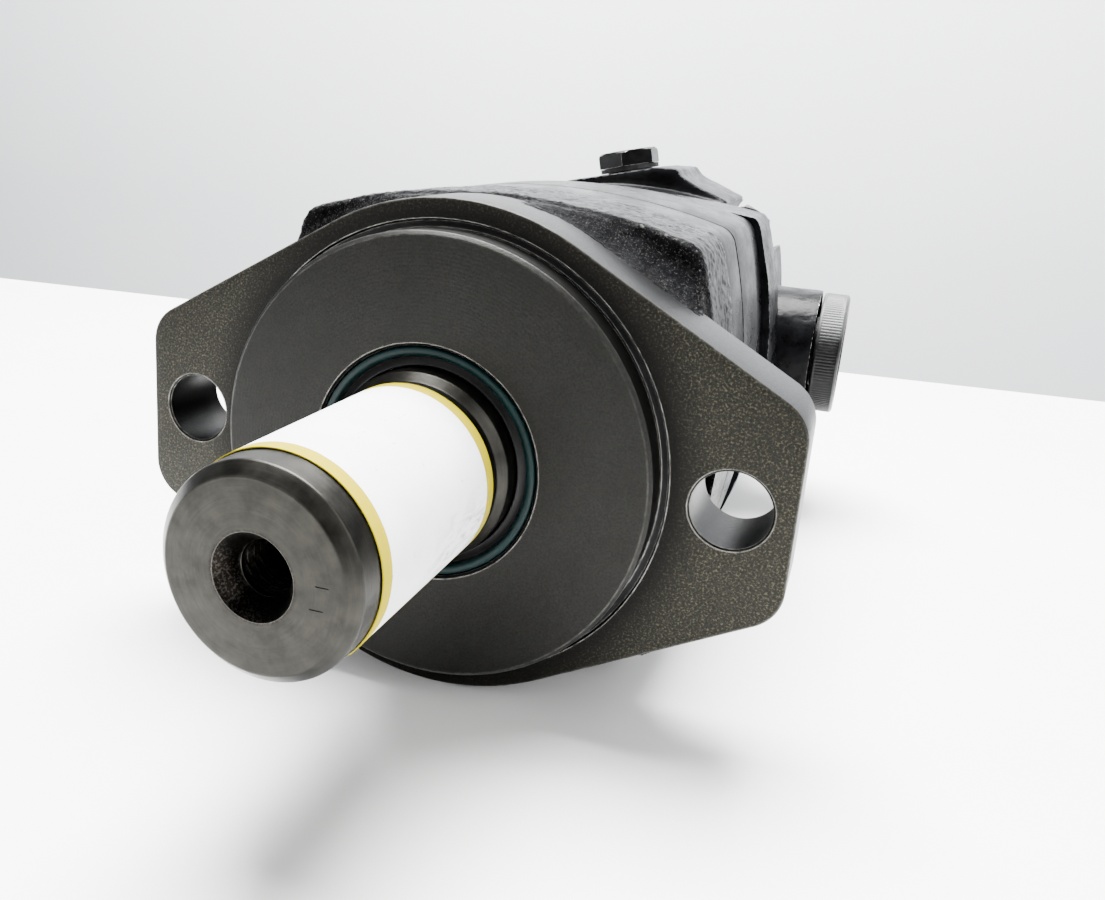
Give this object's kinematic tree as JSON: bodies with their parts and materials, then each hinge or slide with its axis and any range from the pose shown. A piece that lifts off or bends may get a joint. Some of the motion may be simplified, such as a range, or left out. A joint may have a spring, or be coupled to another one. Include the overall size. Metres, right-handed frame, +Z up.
{
  "type": "hydraulic motor",
  "caption": "Orbiting-rotor hydraulic motor with a two-bolt pilot flange, straight keyed shaft, side ports and a disc valve.",
  "frame": {"origin": "on the ground plane under the centre of the bounding box; the shaft axis is 46.5 mm above it", "axes": "+Y runs along the shaft axis from the output shaft to the valve end, +X to the side with port A, +Z up"},
  "size_m": [0.1274, 0.236, 0.1015],
  "materials": {
    "painted_casting": "gloss black paint on cast iron, front faces bare machined iron",
    "shaft_steel": "ground steel",
    "bearing_steel": "ground steel",
    "rotor_steel": "ground steel",
    "seal_green": "matte",
    "seal_black": "matte",
    "label_paper": "coated paper",
    "cap_plastic": "satin",
    "plug_black": "black oxide",
    "key_steel": "ground steel"
  },
  "bodies": {
    "housing": {"bearing_housing": "painted_casting", "wear_plate": "painted_casting", "geroler_ring": "painted_casting", "valve_plate": "painted_casting", "valve_housing": "painted_casting", "front_bearing_cup": "bearing_steel", "rear_bearing_cup": "bearing_steel", "backup_washer": "bearing_steel", "balance_spring_1": "bearing_steel", "balance_spring_2": "bearing_steel", "balance_pin_1": "bearing_steel", "balance_pin_2": "bearing_steel", "balance_ring": "rotor_steel", "dust_seal": "seal_green", "shaft_seal": "seal_black", "body_seal_1": "seal_black", "body_seal_2": "seal_black", "body_seal_3": "seal_black", "body_seal_4": "seal_black", "inner_face_seal": "seal_black", "outer_face_seal": "seal_black", "drain_seal": "seal_black", "cap_screw_1": "plug_black", "cap_screw_2": "plug_black", "cap_screw_3": "plug_black", "cap_screw_4": "plug_black", "drain_plug": "plug_black", "port_plug_a": "cap_plastic", "port_plug_b": "cap_plastic"},
    "shaft": {"output_shaft": "shaft_steel", "shaft_key": "key_steel", "shaft_label": "label_paper", "front_bearing_cone": "bearing_steel", "rear_bearing_cone": "bearing_steel"},
    "front_rollers": {"front_bearing_rollers": "bearing_steel"},
    "rear_rollers": {"rear_bearing_rollers": "bearing_steel"},
    "orbit_carrier": {"orbit_spacer": "rotor_steel"},
    "star": {"rotor_star": "rotor_steel"},
    "link": {"drive_link": "rotor_steel"},
    "valve_link": {"valve_drive": "rotor_steel"},
    "valve": {"disc_valve": "rotor_steel"},
    "roll_body_1": {"roll_1": "bearing_steel"},
    "roll_body_2": {"roll_2": "bearing_steel"},
    "roll_body_3": {"roll_3": "bearing_steel"},
    "roll_body_4": {"roll_4": "bearing_steel"},
    "roll_body_5": {"roll_5": "bearing_steel"},
    "roll_body_6": {"roll_6": "bearing_steel"},
    "roll_body_7": {"roll_7": "bearing_steel"}
  },
  "joints": [
    {"name": "shaft_turn", "type": "hinge", "parent": "housing", "child": "shaft", "pos_m": [0, -0.058, 0.0465], "axis": [0, 1, 0], "continuous": true},
    {"name": "front_rollers_turn", "type": "hinge", "parent": "housing", "child": "front_rollers", "pos_m": [0, -0.042, 0.0465], "axis": [0, 1, 0], "continuous": true},
    {"name": "rear_rollers_turn", "type": "hinge", "parent": "housing", "child": "rear_rollers", "pos_m": [0, -0.02465, 0.0465], "axis": [0, 1, 0], "continuous": true},
    {"name": "rotor_orbit", "type": "hinge", "parent": "housing", "child": "orbit_carrier", "pos_m": [0, 0.01415, 0.0465], "axis": [0, 1, 0], "continuous": true},
    {"name": "star_spin", "type": "hinge", "parent": "orbit_carrier", "child": "star", "pos_m": [0, 0.01385, 0.0441], "axis": [0, 1, 0], "continuous": true},
    {"name": "drive_link_spin", "type": "hinge", "parent": "orbit_carrier", "child": "link", "pos_m": [0, -0.025, 0.0465], "axis": [0, 0.9974, -0.0715], "continuous": true},
    {"name": "valve_drive_spin", "type": "hinge", "parent": "orbit_carrier", "child": "valve_link", "pos_m": [0, 0.02, 0.0441], "axis": [0, 0.9968, 0.0797], "continuous": true},
    {"name": "disc_valve_turn", "type": "hinge", "parent": "housing", "child": "valve", "pos_m": [0, 0.05, 0.0465], "axis": [0, 1, 0], "continuous": true},
    {"name": "roll_1_turn", "type": "hinge", "parent": "housing", "child": "roll_body_1", "pos_m": [0, 0.01385, 0.0775], "axis": [0, 1, 0], "continuous": true},
    {"name": "roll_2_turn", "type": "hinge", "parent": "housing", "child": "roll_body_2", "pos_m": [0.02424, 0.01385, 0.06583], "axis": [0, 1, 0], "continuous": true},
    {"name": "roll_3_turn", "type": "hinge", "parent": "housing", "child": "roll_body_3", "pos_m": [0.03022, 0.01385, 0.0396], "axis": [0, 1, 0], "continuous": true},
    {"name": "roll_4_turn", "type": "hinge", "parent": "housing", "child": "roll_body_4", "pos_m": [0.01345, 0.01385, 0.01857], "axis": [0, 1, 0], "continuous": true},
    {"name": "roll_5_turn", "type": "hinge", "parent": "housing", "child": "roll_body_5", "pos_m": [-0.01345, 0.01385, 0.01857], "axis": [0, 1, 0], "continuous": true},
    {"name": "roll_6_turn", "type": "hinge", "parent": "housing", "child": "roll_body_6", "pos_m": [-0.03022, 0.01385, 0.0396], "axis": [0, 1, 0], "continuous": true},
    {"name": "roll_7_turn", "type": "hinge", "parent": "housing", "child": "roll_body_7", "pos_m": [-0.02424, 0.01385, 0.06583], "axis": [0, 1, 0], "continuous": true}
  ],
  "couplings": [
    {"joint": "front_rollers_turn", "follows": "shaft_turn", "ratio": 0.45},
    {"joint": "rear_rollers_turn", "follows": "shaft_turn", "ratio": 0.45},
    {"joint": "rotor_orbit", "follows": "shaft_turn", "ratio": -6},
    {"joint": "star_spin", "follows": "shaft_turn", "ratio": 7},
    {"joint": "drive_link_spin", "follows": "shaft_turn", "ratio": 7},
    {"joint": "valve_drive_spin", "follows": "shaft_turn", "ratio": 7},
    {"joint": "disc_valve_turn", "follows": "shaft_turn", "ratio": 1},
    {"joint": "roll_1_turn", "follows": "shaft_turn", "ratio": -4.1667},
    {"joint": "roll_2_turn", "follows": "shaft_turn", "ratio": -4.1667},
    {"joint": "roll_3_turn", "follows": "shaft_turn", "ratio": -4.1667},
    {"joint": "roll_4_turn", "follows": "shaft_turn", "ratio": -4.1667},
    {"joint": "roll_5_turn", "follows": "shaft_turn", "ratio": -4.1667},
    {"joint": "roll_6_turn", "follows": "shaft_turn", "ratio": -4.1667},
    {"joint": "roll_7_turn", "follows": "shaft_turn", "ratio": -4.1667}
  ]
}
